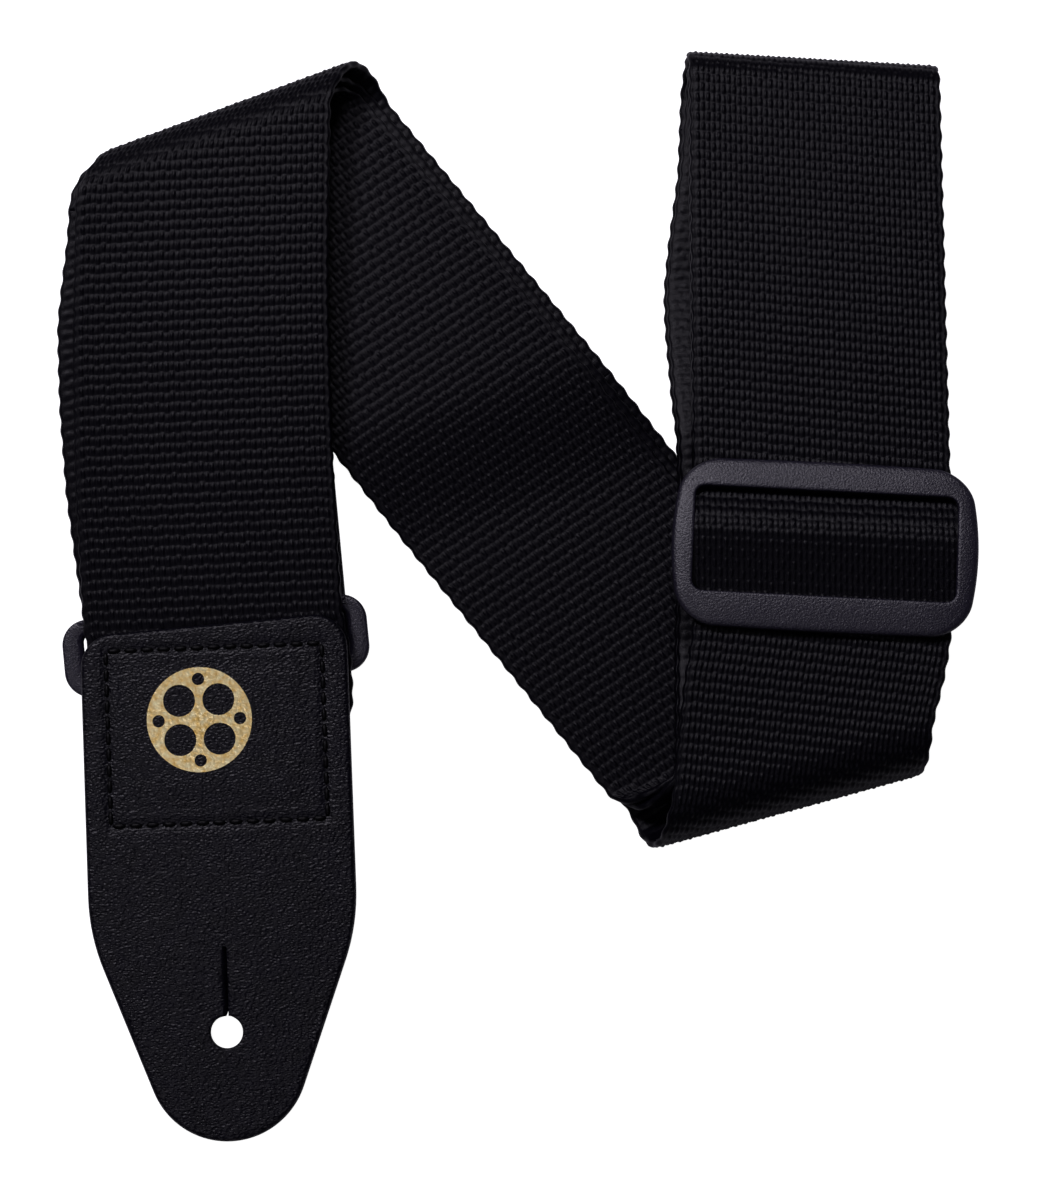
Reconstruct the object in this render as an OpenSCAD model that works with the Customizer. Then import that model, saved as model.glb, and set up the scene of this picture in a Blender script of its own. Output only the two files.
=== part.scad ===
// Guitar strap in two-inch webbing, folded in a Z: leather end tabs, slider and end ring.

/* [Webbing] */
// Width of the webbing, mm
web_w = 50.8; // [49:0.2:51]
// Thickness of the webbing, mm
web_t = 1.6; // [1.4:0.1:1.6]

/* [Leather tabs] */
// Width of each leather tab, mm
tab_w = 52; // [48:0.5:54]
// Thickness of each leather tab, mm
tab_t = 2.5; // [2:0.1:2.5]
// Radius of the strap pin hole, mm
pin_r = 3.1; // [2.5:0.1:4]
// Length of the slit above the pin hole, mm
slit_l = 13; // [8:1:18]
// Width of the slit, mm
slit_w = 0.6; // [0.4:0.1:1.2]

/* [Slider] */
// Length of the slider across the webbing, mm
slider_l = 59.8; // [59:0.2:62]
// Height of the slider along the webbing, mm
slider_h = 34; // [33:0.5:36]
// Thickness of the slider's outer bars, mm
slider_t = 3; // [2:0.2:3.6]

/* [Ring] */
// Length of the ring across the webbing, mm
ring_l = 60; // [59:0.5:64]
// Radius of the ring's round bar, mm
ring_r = 1.5; // [1.2:0.1:1.5]

/* [Stitches] */
// Length of one stitch, mm
stitch_l = 2.5; // [2:0.1:2.8]
// Distance from one stitch to the next, mm
stitch_pitch = 3.2; // [3:0.1:4]

/* [Hidden] */
$fn = 48;
lean = 38.5;                  // angle of the diagonal run from the upright ones
fold = lean / 2;
left_fold = 21.3;             // slope of the upper left fold line
low_fold = 15.5;              // slope of the bottom fold line
top_fold = -3.5;              // slope of the upper right fold line
pitch = 1.75;                 // from one layer of webbing to the next
base = 4.3;                   // height of the pin hole above the surface the strap lies on
lift = 2.85;                  // how far the rear tab lifts the layers over it
c1 = 165.7;                   // fold line distances, each along its own normal
c2 = 197.6;
c3 = -19.9;
c3_in = -24.65;
tab_pitch = 8.1;              // slope of the front tab
tab_yaw = 2.3;                // turn of the front tab in plan
edge_turn = 3.2;              // turn of the tab's cut top edge
tab_top = 79;                 // pin hole to top edge
tab_tip = 21;                 // pin hole to tip
ring_yaw = 5.8;
bar_y = 81.4;                 // upper bar of the ring, in the ring's turned frame
bar_z = 9.4;
low_y = 69.2;                 // lower bar of the ring
low_z = 7.45;
turn_r = ring_r + 0.1 + web_t / 2;
pivot = [-3.1, 75.3];
run_x = 115.9;                // centre line of the right-hand run
run_z = 15.7;
slider_y = 93;
slider_yaw = -3;
bar_h = 11.9;                 // height of the slider's centre bar
thread_h = 0.2;

// Node to show

// Rows of [x, y] or more numbers, read between rows at a given first number.
function between(t, v, i = 0) =
    v <= t[0][0] ? t[0][1] : i >= len(t) - 1 ? t[len(t) - 1][1]
    : v <= t[i + 1][0] ? t[i][1] + (t[i + 1][1] - t[i][1]) * (v - t[i][0]) / (t[i + 1][0] - t[i][0])
    : between(t, v, i + 1);
function smooth(v) = let (k = min(max(v, 0), 1)) k * k * (3 - 2 * k);
function rev(l) = [for (i = [len(l) - 1:-1:0]) l[i]];
function join(a) = [for (l = a) for (s = l) s];
function mix(a, b, k) = a + (b - a) * k;

// A point from its distance along a fold line and away from it.
function at_up(a, p, s) = [a * cos(s) - p * sin(s), a * sin(s) + p * cos(s)];
function at_down(a, p, s) = [a * cos(s) + p * sin(s), a * sin(s) - p * cos(s)];
function lay(q, h) = [q[0], q[1], h - base];

// Stations round a fold: each is the webbing's left and right edge. e and f are both edges' places along it, in and out.
function turn_at(up, c, rp, rh, hc, e, f, s, n, ease = 1) = [for (i = [0:n]) let (t = 180 * i / n,
    p = c + rp * sin(t), h = hc + (up ? 1 : -1) * rh * cos(t), k = ease < 1 ? pow(i / n, 1 / ease) : 1 - pow(1 - i / n, ease))
    [for (j = [0, 1]) let (a = mix(e[j], f[j], k)) lay(up ? at_up(a, p, s) : at_down(a, p, s), h)]];

// One layer, k = 0 outside to 2 inside, from the left-hand run to the top of the right-hand run.
edge_n = [90.4, 88.4, 86.5];  // left edge of each layer across the diagonal
low_shift = [2.5, 0, 0];  // how far each layer has moved left where it meets the bottom fold
left_x = [-32, -33.4, -33.4];
r1 = [7.4, 7.4 - pitch, 7.4 - 2 * pitch];
low1 = [lift + 0.8, lift + 0.8 + pitch, lift + 0.8 + 2 * pitch];
mid1 = low1[0] + r1[0];
r3 = [(run_z - 0.8) / 2, 4.2, 4.2 - pitch];
mid3 = [run_z - r3[0], 6.75, 6.75];
start3 = [c3, c3_in, c3_in];
out3_x = [run_x - web_w / 2 - 4.5, 87.2, 86.7];
run_bow = [[67, -2.2], [73, -1], [79, -0.25], [86, 0], [180, 0]];  // sideways shift of the top layer along the run

// Places along a fold line where a pair of upright edges, or of the diagonal's edges, meets it.
function upright(x, p, s, up) = [for (w = [0, web_w]) (x + w + (up ? p : -p) * sin(s)) / cos(s)];
function slanted(n, p, s, up) = [for (w = [0, web_w]) (n + w - (up ? p : -p) * sin(lean - s)) / cos(lean - s)];

function fold_one(k) = turn_at(true, c1, r1[k], r1[k], mid1, upright(left_x[k], c1, left_fold, true),
    slanted(edge_n[k], c1, left_fold, true), left_fold, 14, k == 0 ? 2 : 1.3);
diagonal_p = [150, 130, 106, 99, 92, 85, 78, 60, 40];
function diagonal(k) = [for (p = diagonal_p) let (a = slanted(edge_n[k] - low_shift[k] * smooth((90 - p) / 100), p, fold, true),
    h = 0.8 + k * pitch + lift * smooth((p - 78) / 28)) [for (j = [0, 1]) lay(at_up(a[j], p, fold), h)]];
function fold_three(k) = turn_at(false, start3[k], r3[k], r3[k], mid3[k],
    slanted(edge_n[k] - low_shift[k], start3[k], low_fold, false),
    upright(out3_x[k], start3[k], low_fold, false), low_fold, 14, 0.55);

// Left-hand runs, from a straight first edge line to the fold.
function left_run(first, k, xs, n) = [for (i = [0:n - 1]) let (u = i / n, e = fold_one(k)[0],
    l = mix(first[0], e[0], u), r = mix(first[1], e[1], u), y = (l[1] + r[1]) / 2,
    c = between(xs, y), half = (r[0] - l[0]) / 2)
    [[c - half, l[1], l[2]], [c + half, r[1], r[2]]]];

// Ring frame to the strap's frame.
function turned(x, y) = [pivot[0] + x * cos(ring_yaw) - (y - pivot[1]) * sin(ring_yaw),
    pivot[1] + x * sin(ring_yaw) + (y - pivot[1]) * cos(ring_yaw)];
function across(y, h) = [lay(turned(-web_w / 2, y), h), lay(turned(web_w / 2, y), h)];

ring_turn = [for (i = [0:10]) let (t = 270 - 18 * i) across(bar_y + turn_r * cos(t), bar_z + turn_r * sin(t))];

// Front tab frame: from the pin hole's centre, y up the tab, z off its face.
function tab_at(x, y, z) = let (b = [x, y * cos(tab_pitch) - z * sin(tab_pitch), y * sin(tab_pitch) + z * cos(tab_pitch)])
    [b[0] * cos(tab_yaw) - b[1] * sin(tab_yaw), b[0] * sin(tab_yaw) + b[1] * cos(tab_yaw), b[2]];
web_off = -(tab_t / 2 + 0.1 + web_t / 2);
function tab_line(y, k = 0) = [for (s = [-1, 1]) tab_at(s * web_w / 2, y + k * s * web_w / 2 * tan(edge_turn), web_off)];

front_first = tab_line(tab_top + 0.5, 1);
front_x = [[79, -3.4], [110, -5.6], [140, -6.6]];
back_x = [[81, -3.6], [95, -5.6], [109, -7.6], [130, -9.4], [148, -10], [167, -8.2]];

// Right-hand runs.
function flat_pair(xl, y, h) = [[xl, y, h - base], [xl + web_w, y, h - base]];
back_run_x = [[66, 87.2], [80, 87.6], [90, 88], [112, 88.8], [126, 87.3], [147, 85.9], [157, 86.7], [175, 89.2]];
back_run_h = [[76, 7.8], [118, 7.8], [150, 2.55], [175, 2.55]];
back_run_y = [76, 90, 104, 118, 126, 134, 142, 150, 160, 175];
function right_back(k) = [for (y = back_run_y)
    flat_pair(between(back_run_x, y) - 0.5 * (k - 1), y, between(back_run_h, y) - pitch * (k - 1))];

top_rp = [5, 3.2];
top_rh = [(run_z - 0.8) / 2, (9.8 - 2.55) / 2];
top_x = [run_x - web_w / 2, 89.5];
function top_turn(k, x, h) = turn_at(true, c2, top_rp[k], top_rh[k], h - top_rh[k],
    upright(top_x[0], c2, top_fold, true), upright(x, c2, top_fold, true), top_fold, 12);

function layer(k) = join([fold_one(k), diagonal(k), fold_three(k)]);
main_line = join([
    left_run(front_first, 0, front_x, 8), layer(0),
    [for (y = [67, 73, 79, 86, 110, 150, 180]) flat_pair(run_x - web_w / 2 + between(run_bow, y), y, run_z)],
    top_turn(0, top_x[1], run_z),
    rev(right_back(2)), rev(layer(2)), rev(left_run(ring_turn[0], 2, back_x, 8)),
    [for (i = [1:9]) ring_turn[i]],
    left_run(ring_turn[10], 1, back_x, 8), layer(1), right_back(1),
    rev(top_turn(1, top_x[0], 9.8)),
    [for (y = [178, 160, 144]) flat_pair(run_x - web_w / 2, y, 9.8)]]);
function unit(v) = v / norm(v);
function centre(s) = (s[0] + s[1]) / 2;

// Webbing along a list of stations.
module webbing(line, t = web_t) {
    n = len(line);
    off = [for (i = [0:n - 1]) let (d = centre(line[min(i + 1, n - 1)]) - centre(line[max(i - 1, 0)]),
        u = unit(cross(line[i][1] - line[i][0], d))) u * t / 2];
    pts = [for (i = [0:n - 1]) each [line[i][0] + off[i], line[i][1] + off[i], line[i][1] - off[i], line[i][0] - off[i]]];
    sides = [for (i = [0:n - 2]) for (j = [0:3]) let (a = 4 * i + j, b = 4 * i + (j + 1) % 4)
        each [[a, b, b + 4], [a, b + 4, a + 4]]];
    m = 4 * (n - 1);
    polyhedron(pts, concat(sides, [[3, 2, 1], [3, 1, 0], [m, m + 1, m + 2], [m, m + 2, m + 3]]), convexity = 12);
}

module main_webbing() {
    color([0.07, 0.07, 0.08]) webbing(main_line);
}
module webbing_front_end() {
    color([0.07, 0.07, 0.08]) webbing([tab_line(38), tab_line(58), tab_line(tab_top + 0.3, 1)]);
}

// The end sewn round the slider's centre bar, and its tail.
function skewed(y, h, k = 1) = [for (s = [-1, 1])
    [run_x + s * web_w / 2, y - k * s * web_w / 2 * tan(-slider_yaw), h - base]];
loop_r = 2;
sewn_line = join([
    [skewed(150, 11.85, 0), skewed(112, 11.85, 0.5), skewed(106, 11.5), skewed(100, 10.2), skewed(97, bar_h - loop_r)],
    [for (i = [0:10]) let (t = 270 - 18 * i) skewed(slider_y - 1.4 + loop_r * cos(t), bar_h + loop_r * sin(t))],
    [skewed(97, bar_h + loop_r), skewed(103, 13.6), skewed(112, 13.6, 0.5), skewed(128, 13.6, 0)]]);
module webbing_sewn_end() {
    color([0.08, 0.08, 0.09]) webbing(sewn_line);
}

module rounded(w, h, r) {
    union() {
        square([w - 2 * r, h], center = true);
        square([w, h - 2 * r], center = true);
        for (x = [-1, 1]) for (y = [-1, 1]) translate([x * (w / 2 - r), y * (h / 2 - r)]) circle(r);
    }
}

// The slider's local frame has its centre between the rails.
window_w = 52.4;
window_h = 21;
window_y = 0.5;
rail_w = (slider_l - window_w) / 2;
module slider() {
    low = 10.8 - base;
    face = 16.6 - base;
    color([0.2, 0.2, 0.22]) translate([run_x + 0.2, slider_y, 0]) rotate([0, 0, slider_yaw]) union() {
        translate([0, 0, face]) linear_extrude(slider_t) difference() {
            rounded(slider_l, slider_h, 7.5);
            translate([0, window_y]) rounded(window_w, window_h, 2);
        }
        for (s = [-1, 1]) translate([s * (slider_l - rail_w) / 2, 0.2, (low + face + 1) / 2])
            cube([rail_w, 9, face + 1 - low], center = true);
        translate([0, 0.6, bar_h - base]) cube([window_w + 2, 3.6, 2.2], center = true);
        for (y = [-1.2, 2.4]) translate([0, y, bar_h - base]) rotate([0, 90, 0])
            cylinder(r = 1.1, h = window_w + 2, center = true);
    }
}

// Rectangular ring of round bar.
ring_mid = (bar_y + low_y) / 2;
ring_span = norm([bar_y - low_y, bar_z - low_z]);
ring_tilt = atan2(bar_z - low_z, bar_y - low_y);
module ring() {
    w = ring_l - 2 * ring_r;
    c = 3.6;
    color([0.2, 0.2, 0.22]) translate([pivot[0], pivot[1], 0]) rotate([0, 0, ring_yaw])
        translate([0, ring_mid - pivot[1], (bar_z + low_z) / 2 - base]) rotate([ring_tilt, 0, 0]) union() {
            for (s = [-1, 1]) translate([0, s * ring_span / 2, 0]) rotate([0, 90, 0])
                cylinder(r = ring_r, h = w - 2 * c, center = true);
            for (s = [-1, 1]) translate([s * w / 2, 0, 0]) rotate([90, 0, 0])
                cylinder(r = ring_r, h = ring_span - 2 * c, center = true);
            for (s = [-1, 1]) translate([s * (w / 2 - 1.5), 0, 0]) cube([2, ring_span - 2, 2.4], center = true);
            for (q = [0:3]) translate([(q == 0 || q == 3 ? 1 : -1) * (w / 2 - c),
                (q < 2 ? 1 : -1) * (ring_span / 2 - c), 0])
                rotate([0, 0, 90 * q]) rotate_extrude(angle = 90) translate([c, 0]) circle(ring_r);
        }
}

// Outline of a tab: straight sides, a taper and a rounded tip, with the pin hole at the origin.
function arc(x, y, r, a0, a1, n) = [for (i = [0:n]) let (t = mix(a0, a1, i / n)) [x + r * cos(t), y + r * sin(t)]];
module tab_outline(w, top, slope) {
    h = w / 2;
    c = 6.5;
    tip = 15.5;
    polygon(concat(
        arc(0, tip - tab_tip, tip, 200.5, 339.5, 30),
        arc(h - 40, 27, 40, -21, 0, 8),
        arc(h - c, top - c + slope * (h - c), c, 0, 90, 10),
        arc(-h + c, top - c - slope * (h - c), c, 90, 180, 10),
        arc(-h + 40, 27, 40, 180, 201, 8)));
}
module tab_body(w, top, slope) {
    difference() {
        linear_extrude(tab_t, center = true) tab_outline(w, top, slope);
        cylinder(r = pin_r, h = tab_t + 2, center = true);
        translate([-slit_w / 2, 0, -tab_t]) cube([slit_w, pin_r + slit_l, 2 * tab_t]);
    }
}

module in_front_frame() {
    rotate([0, 0, tab_yaw]) rotate([tab_pitch, 0, 0]) children();
}
module front_tab() {
    color([0.11, 0.1, 0.12]) in_front_frame() tab_body(tab_w, tab_top, tan(edge_turn));
}

// The rear tab lies face down and points the other way.
rear_edge = 68;
rear_hole = 151.5;
rear_z = 0.2 + tab_t / 2;
module in_rear_frame() {
    translate([pivot[0], pivot[1], 0]) rotate([0, 0, ring_yaw]) translate([0, rear_hole - pivot[1], rear_z - base])
        rotate([180, 0, 0]) children();
}
module rear_tab() {
    color([0.11, 0.1, 0.12]) in_rear_frame() tab_body(tab_w, rear_hole - rear_edge, 0);
}
keep_r = turn_r;
leg_low = rear_z + tab_t / 2 + 0.1 + web_t / 2;
leg_high = leg_low + web_t + 0.05;
module ring_keeper() {
    color([0.08, 0.08, 0.09]) webbing(join([
        [across(114, leg_low), across(95, leg_low), across(76, leg_low), across(71.5, leg_low + 0.05),
            across(68.3, leg_low + 1), across(66.95, leg_low + 2.5)],
        [for (i = [0:8]) let (t = 180 - 22.5 * i) across(low_y + keep_r * cos(t), low_z + keep_r * sin(t))],
        [across(72.3, leg_high + 1.1), across(74.2, leg_high + 0.2), across(77, leg_high), across(95, leg_high),
            across(114, leg_high)]]));
}

// A box of stitches on a flat face, joined into one thread.
module stitches(w, h) {
    cols = floor(w / stitch_pitch);
    rows = floor(h / stitch_pitch);
    difference() {
        translate([0, 0, thread_h / 2]) cube([w + 0.4, h + 0.4, thread_h * 0.5], center = true);
        translate([0, 0, thread_h / 2]) cube([w - 0.4, h - 0.4, 2], center = true);
    }
    for (s = [-1, 1]) for (i = [0:cols - 1]) translate([(i + 0.5 - cols / 2) * w / cols, s * h / 2, thread_h / 2])
        cube([stitch_l, 0.8, thread_h], center = true);
    for (s = [-1, 1]) for (i = [0:rows - 1]) translate([s * w / 2, (i + 0.5 - rows / 2) * h / rows, thread_h / 2])
        cube([0.8, stitch_l, thread_h], center = true);
}
box_w = 42;
box_h = 34;
box_y = 57.5;
module front_needle_thread() {
    color([0.05, 0.05, 0.06]) in_front_frame() translate([0, box_y, tab_t / 2 + 0.01]) stitches(box_w, box_h);
}
module front_bobbin_thread() {
    color([0.05, 0.05, 0.06]) in_front_frame() translate([0, box_y, web_off - web_t / 2 - 0.01]) mirror([0, 0, 1])
        stitches(box_w, box_h);
}
rear_box_h = 22;
rear_box_y = 100;
module rear_box(h) {
    translate([pivot[0], pivot[1], 0]) rotate([0, 0, ring_yaw]) translate([0, rear_box_y - pivot[1], h - base])
        children();
}
module rear_needle_thread() {
    color([0.05, 0.05, 0.06]) rear_box(0.19) mirror([0, 0, 1]) stitches(box_w, rear_box_h);
}
module rear_bobbin_thread() {
    color([0.05, 0.05, 0.06]) rear_box(leg_high + web_t / 2 + 0.01) stitches(box_w, rear_box_h);
}
module slider_needle_thread() {
    color([0.05, 0.05, 0.06]) translate([run_x, 119.5, 13.6 + web_t / 2 + 0.02 - base]) stitches(box_w, 9.6);
}
module slider_bobbin_thread() {
    color([0.05, 0.05, 0.06]) translate([run_x, 119.5, 11.85 - web_t / 2 - 0.02 - base]) mirror([0, 0, 1])
        stitches(box_w, 9.6);
}

// Plain pressed rosette in foil.
module foil_emblem() {
    color([0.9, 0.82, 0.55]) in_front_frame() translate([-3.2, 60.5, tab_t / 2 + 0.01]) linear_extrude(0.12) difference() {
        circle(10.2);
        for (q = [0:3]) rotate(90 * q + 45) translate([5.4, 0]) circle(3.1);
        for (q = [0:3]) rotate(90 * q) translate([7.9, 0]) circle(1.2);
    }
}

main_webbing();
webbing_front_end();
webbing_sewn_end();
slider();
ring();
front_tab();
rear_tab();
ring_keeper();
front_needle_thread();
front_bobbin_thread();
rear_needle_thread();
rear_bobbin_thread();
slider_needle_thread();
slider_bobbin_thread();
foil_emblem();
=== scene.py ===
import math
import random
import bpy
import numpy as np
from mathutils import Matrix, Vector
from mathutils.geometry import delaunay_2d_cdt


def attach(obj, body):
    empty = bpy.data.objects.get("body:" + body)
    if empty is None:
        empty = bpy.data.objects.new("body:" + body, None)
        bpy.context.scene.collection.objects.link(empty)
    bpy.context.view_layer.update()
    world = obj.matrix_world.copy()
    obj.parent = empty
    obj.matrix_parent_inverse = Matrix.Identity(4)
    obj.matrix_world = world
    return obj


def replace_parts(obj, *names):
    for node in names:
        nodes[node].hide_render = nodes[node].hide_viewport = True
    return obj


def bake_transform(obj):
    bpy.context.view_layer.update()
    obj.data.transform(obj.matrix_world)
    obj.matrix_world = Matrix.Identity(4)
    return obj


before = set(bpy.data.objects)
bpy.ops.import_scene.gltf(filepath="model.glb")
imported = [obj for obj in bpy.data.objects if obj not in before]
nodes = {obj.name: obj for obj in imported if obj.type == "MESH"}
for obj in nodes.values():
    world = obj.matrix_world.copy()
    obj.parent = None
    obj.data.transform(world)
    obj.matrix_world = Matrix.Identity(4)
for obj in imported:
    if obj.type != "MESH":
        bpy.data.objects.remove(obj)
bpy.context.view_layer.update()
random.seed(7)
rng = np.random.default_rng(7)
MM = 0.001

# Sizes in millimetres and angles in degrees, the same as the CAD part's.
# Webbing and leather: width and thickness.
WEB_W, WEB_T, TAB_T, TAB_W = 50.8, 1.6, 2.5, 52.0
# The folds: the diagonal's lean, the top right fold's turn, the step between layers,
# the origin's height off the table and how far the diagonal climbs to its upper fold.
LEAN, TOP_FOLD, PITCH, BASE, LIFT = 38.5, -3.5, 1.75, 4.3, 2.85
FOLD, LEFT_FOLD, LOW_FOLD = LEAN / 2, 21.3, 15.5
# Where the folds lie: top left, top right, bottom outer and bottom inner.
C1, C2, C3, C3_IN = 165.7, 197.6, -19.9, -24.65
# The front tab.
TAB_PITCH, TAB_YAW, EDGE_TURN, TAB_TOP, TAB_TIP = 8.1, 2.3, 3.2, 79.0, 21.0
# The ring: its turn, its upper and lower bars and the webbing's turn round them.
RING_YAW, BAR_Y, BAR_Z, LOW_Y, LOW_Z, TURN_R = 5.8, 81.4, 9.4, 69.2, 7.45, 2.4
PIVOT = (-3.1, 75.3)
# The right-hand run and its slider.
RUN_X, RUN_Z = 115.9, 15.7
SLIDER_Y, SLIDER_YAW, BAR_H, LOOP_R = 93.0, -3.0, 11.9, 2.0
# The pin hole with its slit, and the rear tab.
HOLE_R, SLIT_L, SLIT_W = 3.1, 13.0, 0.6
REAR_EDGE, REAR_HOLE = 68.0, 151.5
REAR_Z = 0.2 + TAB_T / 2


def cosd(a):
    return math.cos(math.radians(a))


def sind(a):
    return math.sin(math.radians(a))


def tand(a):
    return math.tan(math.radians(a))


def lerp(a, b, k):
    return a + (b - a) * k


def between(table, v):
    return float(np.interp(v, [q[0] for q in table], [q[1] for q in table]))


def smooth(v):
    k = min(max(v, 0.0), 1.0)
    return k * k * (3 - 2 * k)


# ---------------------------------------------------------------- webbing path
# A place is a: across, p: along a line turned by s degrees, h: height off the table.
def at_up(a, p, s, h):
    return (a * cosd(s) - p * sind(s), a * sind(s) + p * cosd(s), h - BASE)


def at_down(a, p, s, h):
    return (a * cosd(s) + p * sind(s), a * sind(s) - p * cosd(s), h - BASE)


def turn_at(up, c, rp, rh, hc, e, f, s, ease=1.0, n=28):
    """Half a turn of webbing about a fold, its edges moving from e to f."""
    at = at_up if up else at_down
    out = []
    for i in range(n + 1):
        t = 180 * i / n
        p = c + rp * sind(t)
        h = hc + (rh if up else -rh) * cosd(t)
        k = (i / n) ** (1 / ease) if ease < 1 else 1 - (1 - i / n) ** ease
        out.append(tuple(at(lerp(e[j], f[j], k), p, s, h) for j in (0, 1)))
    return out


# The strap's left and right edges where it meets a fold, measured across the fold's own direction:
# upright for the runs that point straight up, slanted for the diagonal.
def upright(x, p, s, up):
    return [(x + w + (p if up else -p) * sind(s)) / cosd(s) for w in (0, WEB_W)]


def slanted(n, p, s, up):
    return [(n + w - (p if up else -p) * sind(LEAN - s)) / cosd(LEAN - s) for w in (0, WEB_W)]


EDGE_N = (90.4, 88.4, 86.5)
LEFT_X = (-32, -33.4, -33.4)
R1 = (7.4, 7.4 - PITCH, 7.4 - 2 * PITCH)
MID1 = LIFT + 0.8 + 7.4
R3 = ((RUN_Z - 0.8) / 2, 4.2, 4.2 - PITCH)
MID3 = (RUN_Z - (RUN_Z - 0.8) / 2, 6.75, 6.75)
START3 = (C3, C3_IN, C3_IN)
OUT3 = (RUN_X - WEB_W / 2 - 4.5, 87.2, 86.7)
RUN_BOW = ((67, -2.2), (73, -1), (79, -0.25), (86, 0), (110, 0), (150, 0), (180, 0))
LOW_SHIFT = (2.5, 0, 0)


# The webbing lies in three layers, and k = 0 is the lowest one of the diagonal.
def fold_one(k):
    """The top left fold, from the left-hand run to the diagonal."""
    return turn_at(True, C1, R1[k], R1[k], MID1, upright(LEFT_X[k], C1, LEFT_FOLD, True),
        slanted(EDGE_N[k], C1, LEFT_FOLD, True), LEFT_FOLD, 1.3 if k else 2.0)


def layer(k):
    """One layer from the top left fold, down the diagonal and round the bottom fold."""
    flat = []
    for p in (150, 130, 115, 106, 102, 99, 95, 92, 88, 85, 81, 78, 60, 40):
        a = slanted(EDGE_N[k] - LOW_SHIFT[k] * smooth((90 - p) / 100), p, FOLD, True)
        h = 0.8 + k * PITCH + LIFT * smooth((p - 78) / 28)
        flat.append(tuple(at_up(a[j], p, FOLD, h) for j in (0, 1)))
    s3 = START3[k]
    inner = slanted(EDGE_N[k] - LOW_SHIFT[k], s3, LOW_FOLD, False)
    outer = upright(OUT3[k], s3, LOW_FOLD, False)
    return fold_one(k) + flat + turn_at(False, s3, R3[k], R3[k], MID3[k], inner, outer, LOW_FOLD, 0.55)


def left_run(first, k, xs, n=10):
    """The left-hand run from its lower end up to the fold, its middle following xs."""
    e = fold_one(k)[0]
    out = []
    for i in range(n):
        u = i / n
        l = [lerp(first[0][j], e[0][j], u) for j in range(3)]
        r = [lerp(first[1][j], e[1][j], u) for j in range(3)]
        c = between(xs, (l[1] + r[1]) / 2)
        half = (r[0] - l[0]) / 2
        out.append(((c - half, l[1], l[2]), (c + half, r[1], r[2])))
    return out


def across(y, h):
    """The two edges of webbing square to the ring's bars."""
    out = []
    for x in (-WEB_W / 2, WEB_W / 2):
        v = y - PIVOT[1]
        out.append((PIVOT[0] + x * cosd(RING_YAW) - v * sind(RING_YAW),
            PIVOT[1] + x * sind(RING_YAW) + v * cosd(RING_YAW), h - BASE))
    return tuple(out)


def tab_at(x, y, z):
    """From the front tab's own frame, about its pin hole, to the strap's."""
    y, z = y * cosd(TAB_PITCH) - z * sind(TAB_PITCH), y * sind(TAB_PITCH) + z * cosd(TAB_PITCH)
    return (x * cosd(TAB_YAW) - y * sind(TAB_YAW), x * sind(TAB_YAW) + y * cosd(TAB_YAW), z)


WEB_OFF = -(TAB_T / 2 + 0.1 + WEB_T / 2)


def tab_line(y):
    """The webbing's two edges under the tab, in line with its slanted top edge."""
    half = WEB_W / 2
    return tuple(tab_at(s * half, y + s * half * tand(EDGE_TURN), WEB_OFF) for s in (-1, 1))


def flat_pair(x, y, h):
    return ((x, y, h - BASE), (x + WEB_W, y, h - BASE))


# How the hidden layers wander: (place along the run, left edge or height).
BACK_X = ((66, 87.2), (80, 87.6), (90, 88), (112, 88.8), (126, 87.3), (147, 85.9), (157, 86.7),
    (175, 89.2))
BACK_H = ((76, 7.8), (118, 7.8), (150, 2.55), (175, 2.55))


def right_back(k):
    """A hidden layer of the right-hand run."""
    out = []
    for y in (76, 90, 104, 118, 126, 134, 142, 150, 160, 175):
        x, h = between(BACK_X, y), between(BACK_H, y)
        out.append(flat_pair(x - 0.5 * (k - 1), y, h - PITCH * (k - 1)))
    return out


def top_turn(rp, rh, x, h0):
    """The fold at the top of the right-hand run."""
    return turn_at(True, C2, rp, rh, h0 - rh, upright(RUN_X - WEB_W / 2, C2, TOP_FOLD, True),
        upright(x, C2, TOP_FOLD, True), TOP_FOLD)


def skewed(y, h, k=1.0):
    """The two edges of the sewn end, turned with the slider."""
    rise = k * WEB_W / 2 * tand(-SLIDER_YAW)
    return tuple((RUN_X + s * WEB_W / 2, y - s * rise, h - BASE) for s in (-1, 1))


FRONT_X = ((79, -3.4), (110, -5.6), (140, -6.6))
LEFT_BACK_X = ((81, -3.6), (95, -5.6), (109, -7.6), (130, -9.4), (148, -10), (167, -8.2))


def under_tab(y, dx):
    """The two edges of the webbing's front end under the leather."""
    return tuple(tab_at(s * WEB_W / 2 + dx, y, WEB_OFF) for s in (-1, 1))


front_line = [under_tab(38, 0), under_tab(58, 0.2), under_tab(63, 1.4), under_tab(73, 1.3)]
front_line += left_run(tab_line(TAB_TOP + 0.5), 0, FRONT_X)
run_line = [flat_pair(RUN_X - WEB_W / 2 + dx, y, RUN_Z) for y, dx in RUN_BOW]
bar_turn = [(cosd(270 - 12 * i), sind(270 - 12 * i)) for i in range(16)]
ring_turn = [across(BAR_Y + TURN_R * c, BAR_Z + TURN_R * s) for c, s in bar_turn]
sewn = [skewed(118, 11.85, 0.3), skewed(112, 11.85, 0.6), skewed(106, 11.5), skewed(100, 10.2)]
sewn += [skewed(97, BAR_H - LOOP_R)]
sewn += [skewed(SLIDER_Y - 1.4 + LOOP_R * c, BAR_H + LOOP_R * s) for c, s in bar_turn]
sewn += [skewed(97, BAR_H + LOOP_R), skewed(103, 13.6), skewed(112, 13.6, 0.5), skewed(128, 13.6, 0)]
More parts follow.
